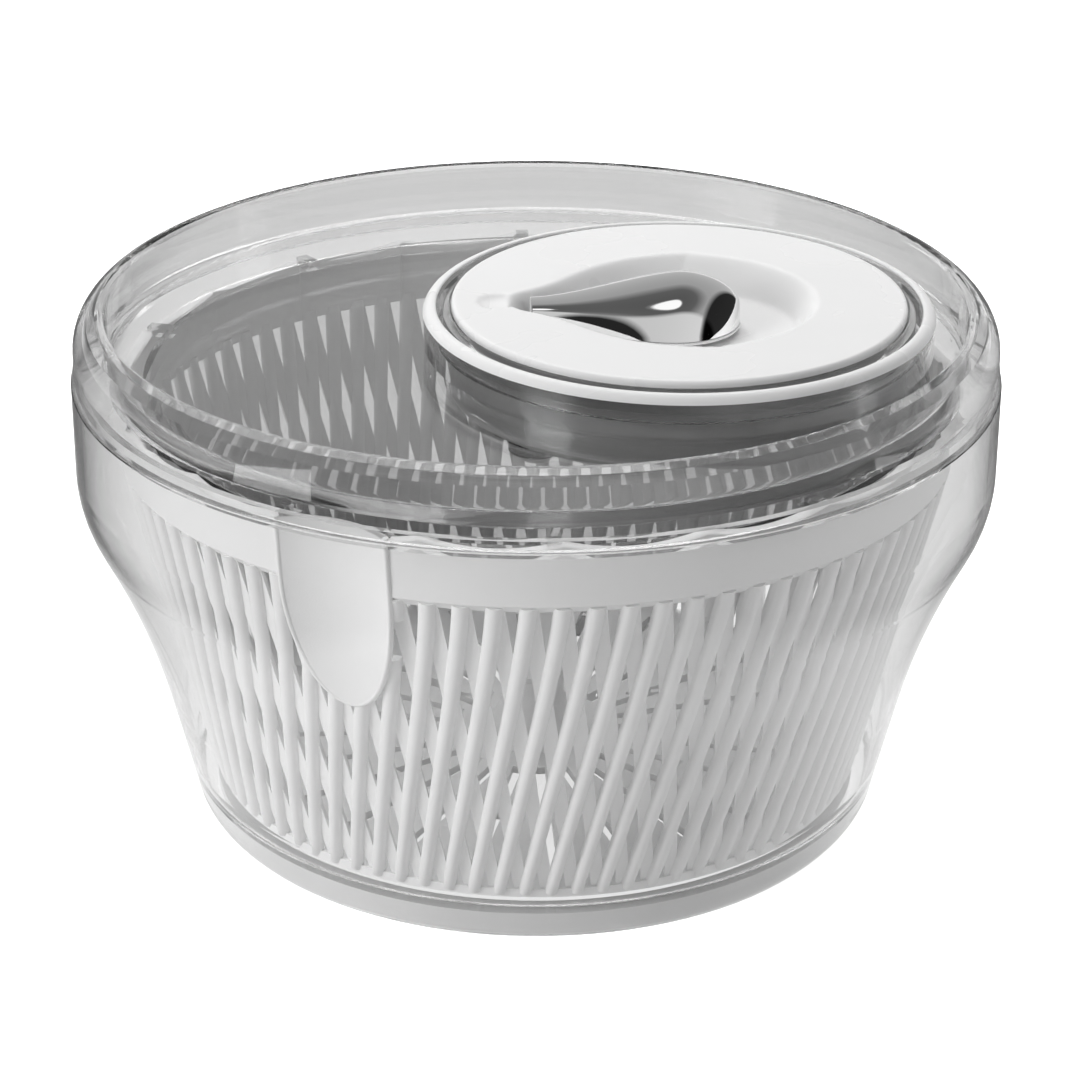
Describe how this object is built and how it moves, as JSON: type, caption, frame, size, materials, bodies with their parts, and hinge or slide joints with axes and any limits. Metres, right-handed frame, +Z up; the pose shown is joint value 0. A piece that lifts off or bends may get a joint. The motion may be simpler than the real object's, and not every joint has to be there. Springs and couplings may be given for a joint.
{
  "type": "salad spinner",
  "caption": "Round salad spinner: clear bowl, slotted white basket and a clear lid with an offset crank disc and fold-away bright knob.",
  "frame": {"origin": "centre of the base on the table, below the basket's axis", "axes": "+Z up along the basket's axis, +X from that axis towards the crank's own axis"},
  "size_m": [0.2796, 0.2796, 0.167],
  "materials": {
    "clear_plastic": "polished clear",
    "tinted_plastic": "polished clear, lightly smoked",
    "grey_rubber": "satin",
    "white_basket": "satin",
    "gloss_white": "gloss",
    "chrome": "mirror",
    "grey_housing": "satin",
    "gear_plastic": "satin",
    "steel": "turned",
    "bronze": "sintered"
  },
  "bodies": {
    "bowl": {"bowl": "clear_plastic", "non_slip_ring": "grey_rubber"},
    "basket": {"basket": "white_basket"},
    "lid": {"lid_shell": "tinted_plastic", "gear_housing": "grey_housing", "gearbox_cover": "grey_housing", "cover_screws": "steel", "shaft_bush": "bronze"},
    "rotor": {"drive_shaft": "steel", "pinion_gear": "gear_plastic", "shaft_clip": "steel", "drive_rotor": "clear_plastic", "rotor_washer": "steel", "rotor_screw": "steel"},
    "crank": {"crank_disc": "gloss_white", "ring_gear": "gear_plastic", "ring_gear_screws": "steel", "axle_bolt": "steel", "axle_washer": "steel", "knob_pin": "steel"},
    "knob": {"knob_body": "gloss_white", "knob_cap": "chrome"}
  },
  "joints": [
    {"name": "basket_spin", "type": "hinge", "parent": "bowl", "child": "basket", "pos_m": [0, 0, 0.033], "axis": [0, 0, 1], "continuous": true},
    {"name": "lid_lift", "type": "slide", "parent": "bowl", "child": "lid", "axis": [0, 0, 1], "range_m": [0, 0.06]},
    {"name": "rotor_spin", "type": "hinge", "parent": "lid", "child": "rotor", "pos_m": [0, 0, 0.1285], "axis": [0, 0, 1], "continuous": true},
    {"name": "crank_turn", "type": "hinge", "parent": "lid", "child": "crank", "pos_m": [0.043, 0, 0.137], "axis": [0, 0, 1], "continuous": true},
    {"name": "knob_fold", "type": "hinge", "parent": "crank", "child": "knob", "pos_m": [0.0015, 0, 0.1548], "axis": [0, -1, 0], "range_deg": [0, 90]}
  ],
  "couplings": [
    {"joint": "crank_turn", "follows": "basket_spin", "ratio": 0.28333},
    {"joint": "rotor_spin", "follows": "basket_spin", "ratio": 1}
  ]
}
